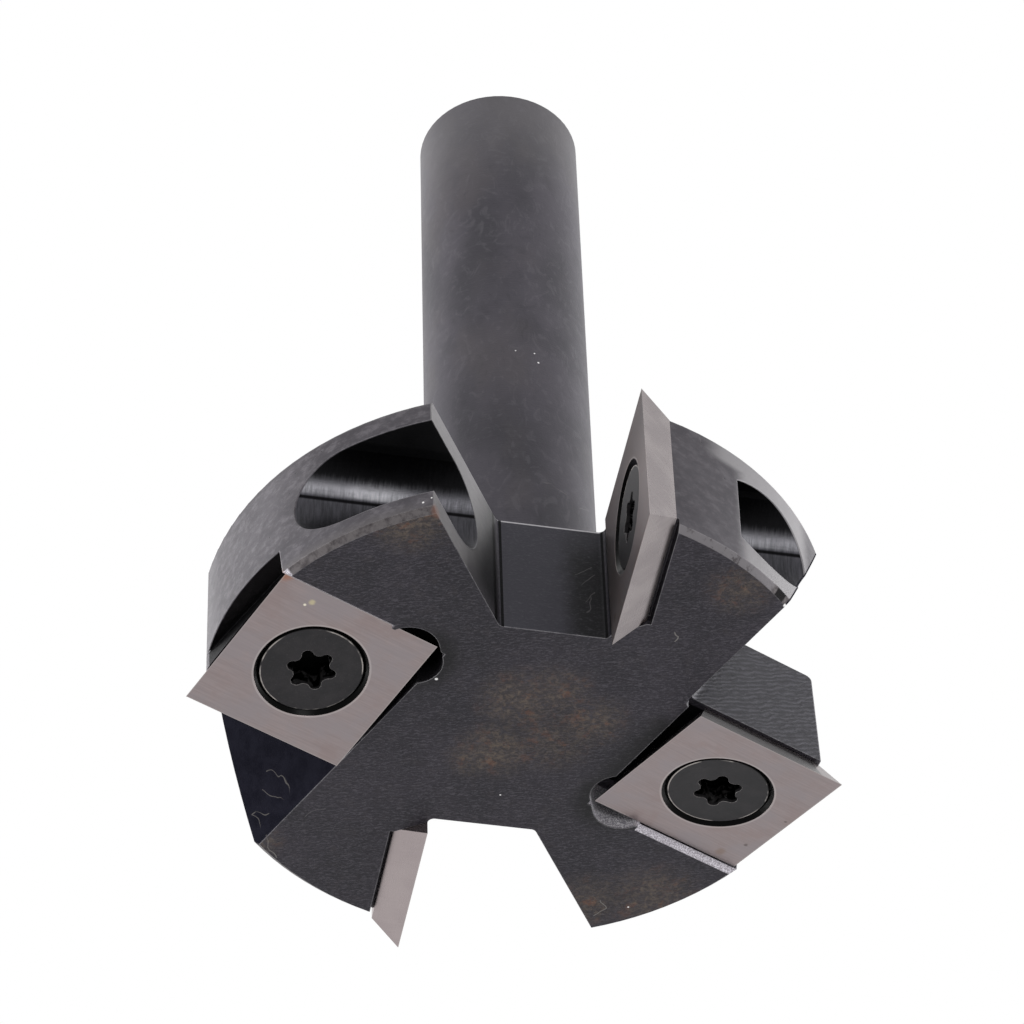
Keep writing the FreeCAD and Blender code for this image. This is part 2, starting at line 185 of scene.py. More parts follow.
# Fibres and scratches as points along them, and specks, pits and rust as places and radii, in millimetres
FIBRE_WIDTH = 0.055
SCRATCH_WIDTH = 0.05
FIBRES = [
    [(-17.3, 6.7, 4.25), (-16.3, 6.2, 3.3), (-15.6, 6.25, 2.3), (-15.6, 6.8, 1.75), (-16.6, 7.4, 2.5),
     (-17.6, 7.75, 3.6)],
    [(-17.2, 8.65, 1.9), (-18.1, 9.1, 2.9), (-18.5, 9.6, 2.85), (-17.9, 9.5, 2.0), (-17.5, 9.7, 1.05),
     (-17.4, 10.8, 1.0), (-16.9, 11.9, 1.0)],
    [(5.6, 17.3, 1.0), (5.7, 18.2, 1.0), (5.1, 19.0, 1.0)],
    [(10.5, -8.9, 1.0), (10.8, -8.4, 1.0), (10.6, -8.0, 1.0)],
]
SCRATCHES = [
    [(2.4, -5.5, 19.4), (3.7, -4.75, 19.2), (5.1, -3.1, 19.3), (5.5, -2.4, 19.6)],
    [(4.8, -3.6, 18.75), (5.5, -2.45, 19.5)],
    [(11.8, -17.9, 10.2), (12.4, -17.5, 10.6), (12.7, -17.3, 10.3), (12.7, -17.2, 9.4)],
    [(4.2, -8.85, 6.8), (5.3, -8.6, 7.6)],
    [(4.5, -8.8, 5.7), (5.5, -8.55, 6.8)],
    [(4.7, -8.7, 4.1), (5.5, -8.55, 5.2)],
    [(4.8, -8.7, 3.3), (5.2, -8.6, 4.7)],
    [(-14.7, 7.85, 1.0), (-14.0, 7.2, 1.0), (-13.3, 7.1, 1.0)],
]
SPECKS = [
    ((-5.3, -5.15, 1.0), 0.14), ((-1.3, 6.3, 1.0), 0.08), ((7.4, 18.2, 1.0), 0.09),
    ((17.7, -11.0, 1.0), 0.16), ((0.75, -5.95, 32.8), 0.07), ((2.1, -5.62, 32.8), 0.08),
    ((2.35, -5.52, 31.9), 0.1), ((-5.65, -20.45, 1.85), 0.1), ((-5.1, -20.6, 2.1), 0.08),
]
PITS = [((-20.2, -6.3, 10.4), 0.35), ((-20.35, -5.9, 10.2), 0.2)]
RUST = [((-15.3, -14.9, 1.2), 0.7), ((-4.6, -20.3, 1.2), 0.7)]

# Floor, lights and the camera solved from the photograph, in metres and watts
FLOOR_HALF = 0.45
FLOOR_DROP = 0.0001
FLOOR_FADE = (0.42, 0.16)
FLOOR_TONES = ((0.86, 0.86, 0.86, 1), (0.9, 0.9, 0.9, 1))
WHITE = (1, 1, 1, 1)
ROOM_STRENGTH = 0.8
WHITE_STRENGTH = 1.0
LIGHT_AIM = (0, 0, 0.015)
SOFT_LIGHTS = [  # name, position, size, power
    ("left", (-0.34, 0.06, 0.06), (0.30, 0.35), 1.45),
    ("right", (0.34, 0.10, 0.08), (0.30, 0.35), 1.2),
    ("front", (0.11, -0.30, -0.16), (0.12, 0.10), 0.35),
]
SENSOR_MM = 36.0
LENS_MM = 155.54
LENS_SHIFT = (0.0161, 0.0117)
CLIP = (0.01, 10.0)
CAMERA_MM = (-1.06197, -214.78038, -204.62841)
CAMERA_RIGHT = (0.9995308, 0.0221919, -0.0211103)
CAMERA_UP = (0.0306288, -0.7242025, 0.6889069)


# Tones, set against the photograph under this scene's light

def srgb(red, green, blue):
    """Linear colour from levels of 0 to 255."""
    def line(level):
        level /= 255
        return level / 12.92 if level <= 0.04045 else ((level + 0.055) / 1.055) ** 2.4
    return (line(red), line(green), line(blue), 1.0)


BOTTOM_DARK = srgb(36, 34, 40)
BOTTOM_LIGHT = srgb(45, 42, 49)
GRAIN_LIGHT = srgb(76, 73, 79)
# painted highlight on the grain's crests and painted shade in its troughs
GRAIN_CREST = srgb(88, 85, 92)
GRAIN_TROUGH = srgb(18, 17, 20)
CLOUD_LIGHT = srgb(64, 59, 61)
SPECK_LIGHT = srgb(94, 90, 95)
SPECK_DARK = srgb(28, 28, 32)
# painted shade in the pockets and beside them
RECESS_DARK = srgb(10, 10, 11)
STAIN_BROWN = srgb(68, 61, 57)
STAIN_PALE = srgb(104, 92, 80)
STAIN_RUST = srgb(110, 70, 48)
STAIN_BLUE = srgb(46, 50, 66)
SCUFF_LINE = srgb(96, 94, 98)

RIM_DARK = srgb(64, 61, 66)
RIM_LIGHT = srgb(79, 76, 81)
RIM_SCUFF = srgb(112, 108, 113)
RIM_SHADE = srgb(56, 53, 58)
RIM_PIT = srgb(38, 36, 36)
# painted shade and painted light on stretches of the rim
RIM_RIGHT = srgb(52, 49, 54)
RIM_BEYOND = srgb(132, 130, 132)
RIM_LEFT = srgb(108, 106, 109)

SHANK_DARK = srgb(56, 54, 60)
SHANK_LIGHT = srgb(70, 67, 74)
SHANK_WARM = srgb(75, 71, 74)
SHANK_LINE = srgb(104, 102, 106)
SWIRL_LIGHT = srgb(100, 98, 103)
SWIRL_DARK = srgb(46, 45, 50)
SHANK_SPECK_LIGHT = srgb(128, 126, 130)
SHANK_SPECK_DARK = srgb(40, 39, 42)
SHANK_END_TONE = srgb(104, 102, 105)
SHANK_ROOT_TONE = srgb(40, 39, 43)

CHAMFER_DARK = srgb(60, 56, 58)
CHAMFER_LIGHT = srgb(92, 88, 89)
# wear and painted highlight on one lobe of the chamfer
CHAMFER_BRIGHT = srgb(104, 101, 104)
BURR_DARK = srgb(22, 21, 22)

FLARE_LOW = srgb(28, 28, 30)
FLARE_HIGH = srgb(108, 106, 108)
FLOOR_TONE = srgb(50, 49, 56)
FLOOR_SHADE = srgb(22, 22, 25)
FLOOR_GRAIN = srgb(80, 79, 84)
# painted highlight on the notch floor's upper edge, and painted shade lines in its corners
FLOOR_EDGE = srgb(190, 188, 192)
CORNER_DARK = srgb(7, 7, 8)

STRIP_DARK = srgb(132, 127, 133)
STRIP_LIGHT = srgb(198, 195, 202)
MILL_DARK = srgb(150, 146, 155)
MILL_LIGHT = srgb(250, 248, 252)
# painted light near the bowl's rim and on the step under the lead facet
BOWL_TONE = srgb(60, 58, 62)
STEP_BRIGHT = srgb(205, 203, 210)

BORE_DARK = srgb(50, 50, 53)
BORE_LIGHT = srgb(72, 71, 76)
# painted highlight band, painted shade on the roof, painted dark reflection line and painted shade on the
# flats, in the bores
BAND_DARK = srgb(98, 98, 101)
BAND_LIGHT = srgb(128, 127, 131)
ROOF_DARK = srgb(13, 13, 14)
BORE_LINE = srgb(6, 6, 7)
FLATS_TONE = srgb(34, 34, 35)

LEAD_DARK = srgb(38, 37, 43)
LEAD_LIGHT = srgb(52, 51, 58)
CHATTER_DARK = srgb(20, 19, 22)
CHATTER_LIGHT = srgb(88, 86, 92)
LEAN_DARK = srgb(26, 26, 36)
LEAN_LIGHT = srgb(40, 40, 51)

# wear and painted highlight on edges
EDGE_BARE = srgb(162, 160, 163)
FIBRE_TONE = srgb(116, 113, 110)
SCRATCH_TONE = srgb(112, 109, 110)
DUST_WHITE = srgb(225, 224, 224)
PIT_DARK = srgb(40, 38, 38)
RUST_TONE = srgb(122, 86, 72)

FACE_DARK = srgb(132, 122, 122)
FACE_LIGHT = srgb(145, 134, 134)
FACE_COOL = srgb(136, 130, 133)
FACE_WARM = srgb(134, 119, 117)
# painted dark reflection on a flat insert's leading bevel
LEAD_BEVEL = srgb(52, 50, 52)
BEVEL_DARK = srgb(138, 131, 132)
BEVEL_LIGHT = srgb(150, 143, 143)
BEVEL_SIDE_B = srgb(164, 151, 151)
HOLE_DARK = srgb(7, 7, 7)
LIP_BRIGHT = srgb(186, 180, 178)
HONED_BRIGHT = srgb(172, 166, 164)

SCREW_DARK = srgb(33, 32, 34)
SCREW_LIGHT = srgb(42, 40, 42)
SCREW_GRAIN = srgb(78, 77, 79)
SCREW_LINE = srgb(168, 162, 158)
SCREW_GAP = srgb(5, 5, 5)
SOCKET_GLINT = srgb(112, 110, 111)
# painted highlight on the socket's rim edges
SCREW_BARE = srgb(150, 147, 146)

# Marks on each insert: place on its large face, radius and tone
INSERT_MARKS = {
    "face_a": [((11.1, 9.5), 0.2, srgb(88, 80, 78)), ((11.6, 5.7), 0.16, srgb(96, 88, 86)),
               ((10.2, 11.2), 0.5, srgb(128, 112, 104))],
    "face_b": [((9.2, 10.9), 0.3, srgb(184, 174, 142)), ((9.5, 10.5), 0.14, srgb(236, 230, 208)),
               ((12.0, 12.0), 0.8, srgb(150, 104, 84))],
    "side_a": [((1.2, 10.6), 0.5, srgb(128, 112, 106))],
    "side_b": [((10.6, 2.0), 0.4, srgb(126, 112, 108))],
}


# Node helpers

class Graph:
    """Builds one node tree. Masks run from 0 to 1."""

    def __init__(self, owner, output="ShaderNodeOutputMaterial"):
        owner.use_nodes = True
        self.tree = owner.node_tree
        self.tree.nodes.clear()
        self.out = self.add(output)

    def add(self, kind, **props):
        node = self.tree.nodes.new(kind)
        for key, value in props.items():
            setattr(node, key, value)
        return node

    def put(self, socket, value):
        if isinstance(value, bpy.types.NodeSocket):
            self.tree.links.new(value, socket)
        elif value is not None:
            socket.default_value = value

    def finish(self, shader):
        self.put(self.out.inputs["Surface"], shader)

    def metres(self):
        return self.add("ShaderNodeTexCoord").outputs["Object"]

    def millimetres(self):
        return self.vector("SCALE", self.metres(), scale=MM_PER_M)

    def math(self, op, *values, clamp=False):
        node = self.add("ShaderNodeMath", operation=op, use_clamp=clamp)
        for socket, value in zip(node.inputs, values):
            self.put(socket, value)
        return node.outputs[0]

    def plus(self, first, *others):
        for other in others:
            first = self.math("ADD", first, other)
        return first

    def minus(self, a, b):
        return self.math("SUBTRACT", a, b)

    def times(self, first, *others):
        """Product. Of masks, it is 1 where all of them are."""
        for other in others:
            first = self.math("MULTIPLY", first, other)
        return first

    def most(self, first, *others):
        """Largest value. Of masks, it is 1 where any of them is."""
        for other in others:
            first = self.math("MAXIMUM", first, other)
        return first

    def flip(self, mask):
        return self.math("SUBTRACT", 1.0, mask)

    def hypot(self, a, b):
        return self.math("SQRT", self.plus(self.times(a, a), self.times(b, b)))

    def vector(self, op, a, b=None, scale=None):
        node = self.add("ShaderNodeVectorMath", operation=op)
        self.put(node.inputs[0], a)
        self.put(node.inputs[1], b)
        if scale is not None:
            self.put(node.inputs["Scale"], scale)
        return node.outputs["Value" if op in ("DOT_PRODUCT", "LENGTH", "DISTANCE") else "Vector"]

    def shift(self, p, offset):
        return self.vector("ADD", p, offset)

    def stretch(self, p, factors):
        return self.vector("MULTIPLY", p, factors)

    def split(self, vector):
        node = self.add("ShaderNodeSeparateXYZ")
        self.put(node.inputs[0], vector)
        return node.outputs

    def join(self, x, y, z):
        node = self.add("ShaderNodeCombineXYZ")
        for socket, value in zip(node.inputs, (x, y, z)):
            self.put(socket, value)
        return node.outputs[0]

    def ramp(self, value, low, high, a=0.0, b=1.0, smooth=True):
        """a at low and b at high; low may be the larger of the two."""
        node = self.add("ShaderNodeMapRange", clamp=True)
        node.interpolation_type = "SMOOTHSTEP" if smooth else "LINEAR"
        for socket, v in zip(node.inputs[:5], (value, low, high, a, b)):
            self.put(socket, v)
        return node.outputs[0]

    def near(self, value, target, width):
        """1 where the value is within width of the target."""
        away = self.math("ABSOLUTE", self.minus(value, target))
        return self.ramp(away, width * (1 + NEAR_SOFT), width * (1 - NEAR_SOFT))

    def between(self, value, low, high, soft):
        """1 between two limits, with soft flanks."""
        rise = self.ramp(value, low - soft, low + soft)
        return self.times(rise, self.ramp(value, high + soft, high - soft))

    def mix(self, factor, a, b, blend="MIX"):
        node = self.add("ShaderNodeMix", data_type="RGBA", blend_type=blend)
        self.put(node.inputs[0], factor)
        self.put(node.inputs[6], a)
        self.put(node.inputs[7], b)
        return node.outputs[2]

    def tint(self, base, mask, amount, tone):
        """Lay a tone over the base where the mask is."""
        return self.mix(self.times(mask, amount), base, tone)

    def layers(self, base, rows):
        """Lay tones over the base. A row is a field, its start and full values, the amount and the tone."""
        for field, start, full, amount, tone in rows:
            base = self.tint(base, self.ramp(field, start, full), amount, tone)
        return base

    def noise(self, p, scale, detail=4.0, rough=0.55, distort=0.0, output="Fac"):
        node = self.add("ShaderNodeTexNoise")
        self.put(node.inputs["Vector"], p)
        settings = {"Scale": scale, "Detail": detail, "Roughness": rough, "Distortion": distort}
        for name, value in settings.items():
            node.inputs[name].default_value = value
        return node.outputs[output]

    def cells(self, p, scale):
        node = self.add("ShaderNodeTexVoronoi", feature="F1")
        self.put(node.inputs["Vector"], p)
        node.inputs["Scale"].default_value = scale
        return node.outputs["Distance"]

    def rounded(self, radius):
        """Normal with its edges rounded, and how far it agrees with the surface's own."""
        soft = self.add("ShaderNodeBevel", samples=BEVEL_SAMPLES)
        soft.inputs["Radius"].default_value = radius
        normal = self.add("ShaderNodeNewGeometry").outputs["Normal"]
        return soft.outputs[0], self.vector("DOT_PRODUCT", soft.outputs[0], normal)

    def bump(self, height, strength, distance, normal=None):
        node = self.add("ShaderNodeBump")
        node.inputs["Strength"].default_value = strength
        node.inputs["Distance"].default_value = distance
        self.put(node.inputs["Height"], height)
        self.put(node.inputs["Normal"], normal)
        return node.outputs[0]

    def principled(self, colour, metallic, roughness, normal, specular=None):
        node = self.add("ShaderNodeBsdfPrincipled")
        self.put(node.inputs["Base Color"], colour)
        self.put(node.inputs["Metallic"], metallic)
        self.put(node.inputs["Roughness"], roughness)
        self.put(node.inputs["Normal"], normal)
        self.put(node.inputs["Specular IOR Level"], specular)
        self.finish(node.outputs[0])


def axes(degrees):
    a = math.radians(degrees)
    return (math.cos(a), math.sin(a), 0), (-math.sin(a), math.cos(a), 0)


def station(g, p, degrees):
    """x and y in the frame of the nearer of two stations, and the sign that tells them apart."""
    along, across = axes(degrees)
    x = g.vector("DOT_PRODUCT", p, along)
    y = g.vector("DOT_PRODUCT", p, across)
    side = g.math("SIGN", x)
    return g.times(x, side), g.times(y, side), side


def strokes(g, p, lines, width):
    """1 on thin lines through the given points."""
    nearest = None
    for line in lines:
        for a, b in zip(line, line[1:]):
            run = Vector(b) - Vector(a)
            from_a = g.vector("SUBTRACT", p, a)
            share = g.vector("DOT_PRODUCT", from_a, tuple(run / run.length_squared))
            along = g.math("MULTIPLY", share, 1.0, clamp=True)
            foot = g.vector("SUBTRACT", from_a, g.vector("SCALE", tuple(run), scale=along))
            away = g.vector("LENGTH", foot)
            nearest = away if nearest is None else g.math("MINIMUM", nearest, away)
    return g.ramp(nearest, width, width * 0.35)


def dots(g, p, spots):
    """1 on small round spots."""
    return g.most(*[g.ramp(g.vector("DISTANCE", p, centre), size, size * 0.5) for centre, size in spots])


# Cutter body

class Places:
    """Coordinates, masks and noise fields of the cutter body, by name."""


def turned_places(g, m):
    """Cutting face, chamfer, rim and shank."""
    m.bottom = g.times(g.ramp(m.z, *BOTTOM_Z), g.ramp(m.rise, *BOTTOM_RISE))
    m.chamfer = g.times(g.ramp(m.z, *CHAMFER_Z), g.ramp(m.r, *CHAMFER_RADII), g.ramp(m.rise, *CHAMFER_RISE))
    m.rim = g.times(g.ramp(m.depth, *ON_RIM), g.ramp(m.z, *RIM_Z))
    m.shank = g.times(g.ramp(m.z, *SHANK_Z), g.ramp(m.r, *ROOT_RADII))


def side_places(g, m):
    """Bores and notches of the standing inserts."""
    m.sx, m.sy, _ = station(g, m.p, SIDE_DEG)
    m.bore_x = g.minus(m.sx, SIDE_AXIS_X)
    m.bore_z = g.minus(m.z, SIDE_AXIS_Z)
    m.bore = g.times(g.near(g.hypot(m.bore_x, m.bore_z), BORE_RADIUS, BORE_WIDTH), m.inside)
    m.flats = g.times(g.near(g.math("ABSOLUTE", m.bore_z), BORE_RADIUS, FLATS_WIDTH),
                      g.ramp(m.bore_x, *FLATS_X), m.inside, g.ramp(m.upright, *FLATS_UPRIGHT))
    flare = g.plus(g.times(g.minus(m.sx, NOTCH_FLOOR), math.sin(NOTCH_FLARE)),
                   g.times(g.plus(m.sy, NOTCH_LEAD), math.cos(NOTCH_FLARE)))
    m.flare_wall = g.times(g.near(flare, 0.0, FLARE_WIDTH), g.ramp(m.sx, *FLARE_X), m.upright)
    notch = g.times(m.upright, g.ramp(m.sx, *NOTCH_OUTER_X), g.between(m.sy, *NOTCH_Y),
                    g.ramp(m.z, *NOTCH_Z), g.ramp(m.sx, *NOTCH_INNER_X))
    m.floor_wall = g.times(notch, g.ramp(m.sx, *FLOOR_X))
    seat_side = g.ramp(m.sy, *SEAT_Y)
    seat_lines = g.most(*[g.between(m.sx, *line) for line in SEAT_LINES_X])
    flare_lines = g.most(g.between(m.sx, *FLARE_LINE_X), g.between(m.sy, *FLARE_LINE_Y))
    both = g.most(g.times(seat_lines, seat_side), g.times(flare_lines, g.flip(seat_side)))
    # painted shade lines in the notch's corners
    m.corner_lines = g.times(notch, both, g.ramp(m.sx, *CORNER_X))


def face_places(g, m):
    """Gullets, pockets, filed strips and milled corners of the flat inserts."""
    m.fx, m.fy, m.f_side = station(g, m.p, FACE_DEG)
    m.on_a = g.ramp(m.f_side, -0.5, 0.5)
    m.on_b = g.ramp(m.f_side, 0.5, -0.5)
    up = g.minus(m.z, HEAD_BOTTOM)
    gullet_x = g.ramp(m.f_side, -1.0, 1.0, GULLET_X_B, GULLET_X_A, smooth=False)
    from_lean = g.minus(g.minus(m.fx, gullet_x), g.times(up, GULLET_LEAN))
    leaning = g.times(g.near(from_lean, 0.0, FACET_WIDTH), g.ramp(m.z, *FACET_Z))
    m.side_facet = g.times(leaning, g.ramp(m.fy, *SIDE_FACET_Y))
    # painted light: the lower leaning wall of pocket b takes the face's tone over its shade
    m.bare_edge = g.times(leaning, m.on_b, g.ramp(m.fy, *BARE_EDGE_Y), g.ramp(m.z, *BARE_EDGE_Z))
    from_lead = g.minus(g.plus(m.fy, GULLET_LEAD), g.times(up, GULLET_LEAD_LEAN))
    m.lead_facet = g.times(g.near(from_lead, 0.0, FACET_WIDTH), g.ramp(m.fx, *LEAD_FACET_X), m.inside)
    m.strip = g.times(g.near(m.fy, STRIP_Y, STRIP_WIDTH), g.ramp(m.z, *STRIP_Z), g.ramp(m.fx, *STRIP_X),
                      *[g.ramp(m.rise, *rise) for rise in STRIP_RISES])
    m.in_pocket = g.times(g.between(m.z, *POCKET_Z), g.ramp(m.fx, *POCKET_X), m.inside)
    m.mill_wall = g.times(m.in_pocket, g.between(m.fy, *MILL_Y), g.ramp(m.fx, *MILL_X), m.upright)
    # painted shade on the pocket walls, outside the milled wall and pocket b's lower leaning wall
    m.dark_pocket = g.times(m.in_pocket, g.between(m.fy, *POCKET_Y), g.flip(m.mill_wall), g.flip(m.bare_edge))


def leather(g, p):
    return g.noise(g.stretch(p, LEATHER_STRETCH), 1.0, detail=5.0, rough=0.7, distort=0.6)


def body_places(g):
    m = Places()
    m.p = g.millimetres()
    m.x, m.y, m.z = g.split(m.p)
    m.facing = g.add("ShaderNodeNewGeometry").outputs["True Normal"]
    m.rise = g.split(m.facing)[2]
    m.upright = g.ramp(g.math("ABSOLUTE", m.rise), *UPRIGHT_RISE)
    m.r = g.hypot(m.x, m.y)
    m.turn = g.math("ARCTAN2", m.y, m.x)
    rim_radius = g.math("MULTIPLY_ADD", m.z, RIM_TAPER, RIM_HIGH_RADIUS - RIM_HIGH * RIM_TAPER)
    m.depth = g.minus(rim_radius, m.r)
    m.inside = g.ramp(m.depth, *BELOW_RIM)
    turned_places(g, m)
    side_places(g, m)
    face_places(g, m)
    m.cloud = g.noise(m.p, 0.16, detail=5.0, rough=0.6, distort=0.4)
    m.cloud_fine = g.noise(m.p, 0.9, detail=6.0, rough=0.65)
    m.grain = g.noise(m.p, 6.0, detail=4.0, rough=0.65)
    m.specks = g.noise(m.p, 3.2, detail=5.0, rough=0.75)
    m.worn = g.noise(m.p, 1.6, detail=5.0, rough=0.7)
    m.leather = leather(g, m.p)
    long_lines = g.noise(g.stretch(m.p, (0.5, 5.5, 5.5)), 1.3, detail=4.0, rough=0.65, distort=0.9)
    cross_lines = g.noise(g.stretch(m.p, (4.5, 0.6, 3.0)), 1.3, detail=3.0, rough=0.6, distort=0.7)
    m.scuffs = g.plus(g.times(long_lines, 0.65), g.times(cross_lines, 0.35))
    m.pits = g.ramp(g.cells(m.p, 0.9), 0.075, 0.05)
    return m


def cutting_face(g, m):
    """Blue-black with a violet cast, with grain that carries a painted highlight and painted shade as relief,
    specks, painted shade beside the pockets, brown stains and scuff lines.
    """
    # painted highlight on the grain's crests and painted shade in its troughs, from the grain less a shifted
    # copy
    emboss = g.minus(m.leather, leather(g, g.shift(m.p, EMBOSS_SHIFT)))
    base = g.mix(g.ramp(m.cloud, 0.35, 0.68), BOTTOM_DARK, BOTTOM_LIGHT)
    base = g.layers(base, [
        (m.leather, 0.5, 0.68, 0.2, GRAIN_LIGHT),
        (emboss, 0.02, 0.13, 0.3, GRAIN_CREST),
        (emboss, -0.02, -0.13, 0.38, GRAIN_TROUGH),
        (m.cloud_fine, 0.5, 0.75, 0.3, CLOUD_LIGHT),
        (m.specks, 0.62, 0.74, 0.35, SPECK_LIGHT),
        (m.specks, 0.40, 0.30, 0.5, SPECK_DARK),
    ])
    # painted shade beside pocket a and around the milled corners
    base = g.tint(base, pocket_border(g, m), 0.8, RECESS_DARK)
    stain = stain_mask(g, m)
    pale = g.ramp(g.noise(m.p, 2.6, detail=7.0, rough=0.75, distort=0.6), 0.44, 0.66)
    rust = g.ramp(g.noise(g.shift(m.p, (7.0, 3.0, 0.0)), 0.8, detail=6.0, rough=0.75), 0.52, 0.68)
    blue = g.ramp(g.noise(g.shift(m.p, (1.0, 9.0, 0.0)), 0.7, detail=5.0, rough=0.7), 0.56, 0.68)
    base = g.tint(base, stain, 0.38, STAIN_BROWN)
    base = g.tint(base, g.times(stain, pale), 0.62, STAIN_PALE)
    base = g.tint(base, g.times(stain, rust), 0.5, STAIN_RUST)
    base = g.tint(base, g.times(stain, blue), 0.45, STAIN_BLUE)
    return g.layers(base, [(m.scuffs, 0.54, 0.68, 0.2, SCUFF_LINE)])


def pocket_border(g, m):
    """Painted shade: a soft dark border beside pocket a and at both milled corners."""
    beside = g.times(g.ramp(m.fx, *BORDER_START_X), g.between(m.fy, *BORDER_Y))
    beside = g.times(m.bottom, beside, m.on_a, g.ramp(m.fx, *BORDER_END_X))
    from_corner = g.vector("DISTANCE", g.join(m.fx, m.fy, 0.0), POCKET_CORNER)
    corner = g.ramp(from_corner, *BORDER_CORNER_REACH)
    return g.most(beside, g.times(m.bottom, corner))


def stain_mask(g, m):
    """Middle of the cutting face and some places along its rim."""
    flat = g.join(m.x, m.y, 0.0)
    spots = []
    for (x, y), reach, amount in STAINS:
        away = g.vector("DISTANCE", flat, (x, y, 0.0))
        spots.append(g.times(g.ramp(away, reach * 1.35, reach * 0.15), amount))
    return g.times(g.most(*spots), g.most(m.bottom, m.chamfer))


def rim_tone(g, m):
    """Lighter than the face, with scuffs and small pits, painted shade on a stretch of the right lobe, and
    painted light beyond the bore and along the left edge.
    """
    scuff = g.noise(g.stretch(m.p, (1.0, 1.0, 1.6)), 1.1, detail=7.0, rough=0.72)
    tone = g.mix(g.ramp(m.cloud, 0.35, 0.65), RIM_DARK, RIM_LIGHT)
    tone = g.layers(tone, [(scuff, 0.45, 0.68, 0.5, RIM_SCUFF), (scuff, 0.46, 0.34, 0.4, RIM_SHADE)])
    tone = g.tint(tone, m.pits, 0.7, RIM_PIT)
    # painted shade on a stretch of the right lobe
    right = g.times(g.ramp(m.turn, *RIGHT_RIM), g.ramp(m.y, *RIGHT_RIM_Y))
    tone = g.tint(tone, right, 0.4, RIM_RIGHT)
    # painted light on the rim beyond the bore
    beyond = g.most(g.ramp(m.turn, *BEYOND_START), g.ramp(m.z, *BEYOND_Z))
    beyond = g.times(beyond, g.between(m.turn, *BEYOND_ARC))
    tone = g.tint(tone, beyond, 0.8, RIM_BEYOND)
    # painted light along the rim's left edge
    return g.layers(tone, [(m.x, -19.3, -20.8, 0.5, RIM_LEFT)])


def shank_tone(g, m):
    """Cloudy brown and blue-grey with faint turning lines, lighter at its end and darker at its root."""
    cloud = g.noise(g.stretch(m.p, (1.0, 1.0, 0.55)), 0.2, detail=3.0, rough=0.5, distort=0.3)
    warm = g.noise(g.stretch(g.shift(m.p, (4.0, 0.0, 9.0)), (1.0, 1.0, 0.5)), 0.16, detail=3.0)
    lines = g.noise(g.join(0.0, 0.0, g.times(m.z, 4.0)), 1.0, detail=3.0, rough=0.7)
    swirl = g.noise(g.stretch(m.p, (1.0, 1.0, 0.7)), 0.7, detail=5.0, rough=0.65, distort=2.2)
    tone = g.mix(g.ramp(cloud, 0.36, 0.64), SHANK_DARK, SHANK_LIGHT)
    return g.layers(tone, [
        (warm, 0.48, 0.66, 0.55, SHANK_WARM),
        (lines, 0.5, 0.72, 0.05, SHANK_LINE),
        (swirl, 0.52, 0.66, 0.22, SWIRL_LIGHT),
        (swirl, 0.44, 0.32, 0.25, SWIRL_DARK),
        (m.specks, 0.68, 0.76, 0.25, SHANK_SPECK_LIGHT),
        (m.specks, 0.33, 0.26, 0.5, SHANK_SPECK_DARK),
        (m.z, 50.0, 60.5, 0.45, SHANK_END_TONE),
        (m.z, 38.0, 22.0, 0.2, SHANK_ROOT_TONE),
    ])


def add_chamfer(g, m, base):
    """Worn grey, bright on one lobe from wear and a painted highlight, with a dark burr at its end; its grey
    fades up one rim.
    """
    m.burr = g.times(m.chamfer, g.between(m.turn, *BURR_ARC))
    tone = g.mix(g.ramp(m.worn, 0.35, 0.6), CHAMFER_DARK, CHAMFER_LIGHT)
    # wear and painted highlight on one lobe
    scraped = g.times(g.between(m.turn, *BRIGHT_ARC), g.ramp(m.worn, 0.3, 0.45))
    tone = g.tint(tone, scraped, 0.9, CHAMFER_BRIGHT)
    tone = g.tint(tone, m.burr, 1.0, BURR_DARK)
    base = g.mix(m.chamfer, base, tone)
    fade = g.times(g.ramp(m.turn, *GREY_ARC), m.rim, g.ramp(m.z, *GREY_Z))
    return g.tint(base, fade, 0.55, CHAMFER_LIGHT)


def add_notch(g, m, base):
    """Dark floor with painted shadow of the standing insert on its trailing side, stronger lower down, a
    painted highlight along its upper edge, a flared wall that is lighter towards its top, and painted shade
    lines in the corners.
    """
    rub = g.noise(g.stretch(m.p, (1.0, 1.0, 3.0)), 1.2, detail=5.0, rough=0.7)
    high = g.ramp(g.plus(g.times(m.z, 0.3), g.minus(m.sx, 10.0)), 2.6, 6.4)
    flare_tone = g.mix(g.times(high, g.ramp(rub, 0.2, 0.55, 0.7, 1.0)), FLARE_LOW, FLARE_HIGH)
    base = g.mix(m.flare_wall, base, flare_tone)
    # painted shadow of the standing insert on the floor's trailing side, stronger lower down
    shade = g.times(g.ramp(g.plus(m.sy, g.times(m.cloud_fine, 1.5)), 1.6, 3.4),
                    g.ramp(m.z, 10.5, 7.5, 0.35, 1.0))
    floor = g.mix(shade, FLOOR_TONE, FLOOR_SHADE)
    floor = g.layers(floor, [(m.leather, 0.5, 0.7, 0.3, FLOOR_GRAIN)])
    base = g.mix(m.floor_wall, base, floor)
    # painted highlight along the floor's upper edge
    top_edge = g.times(m.floor_wall, g.ramp(m.z, *FLOOR_EDGE_Z))
    base = g.tint(base, top_edge, 0.75, FLOOR_EDGE)
    # painted shade lines in the notch's corners
    return g.tint(base, m.corner_lines, 0.95, CORNER_DARK)


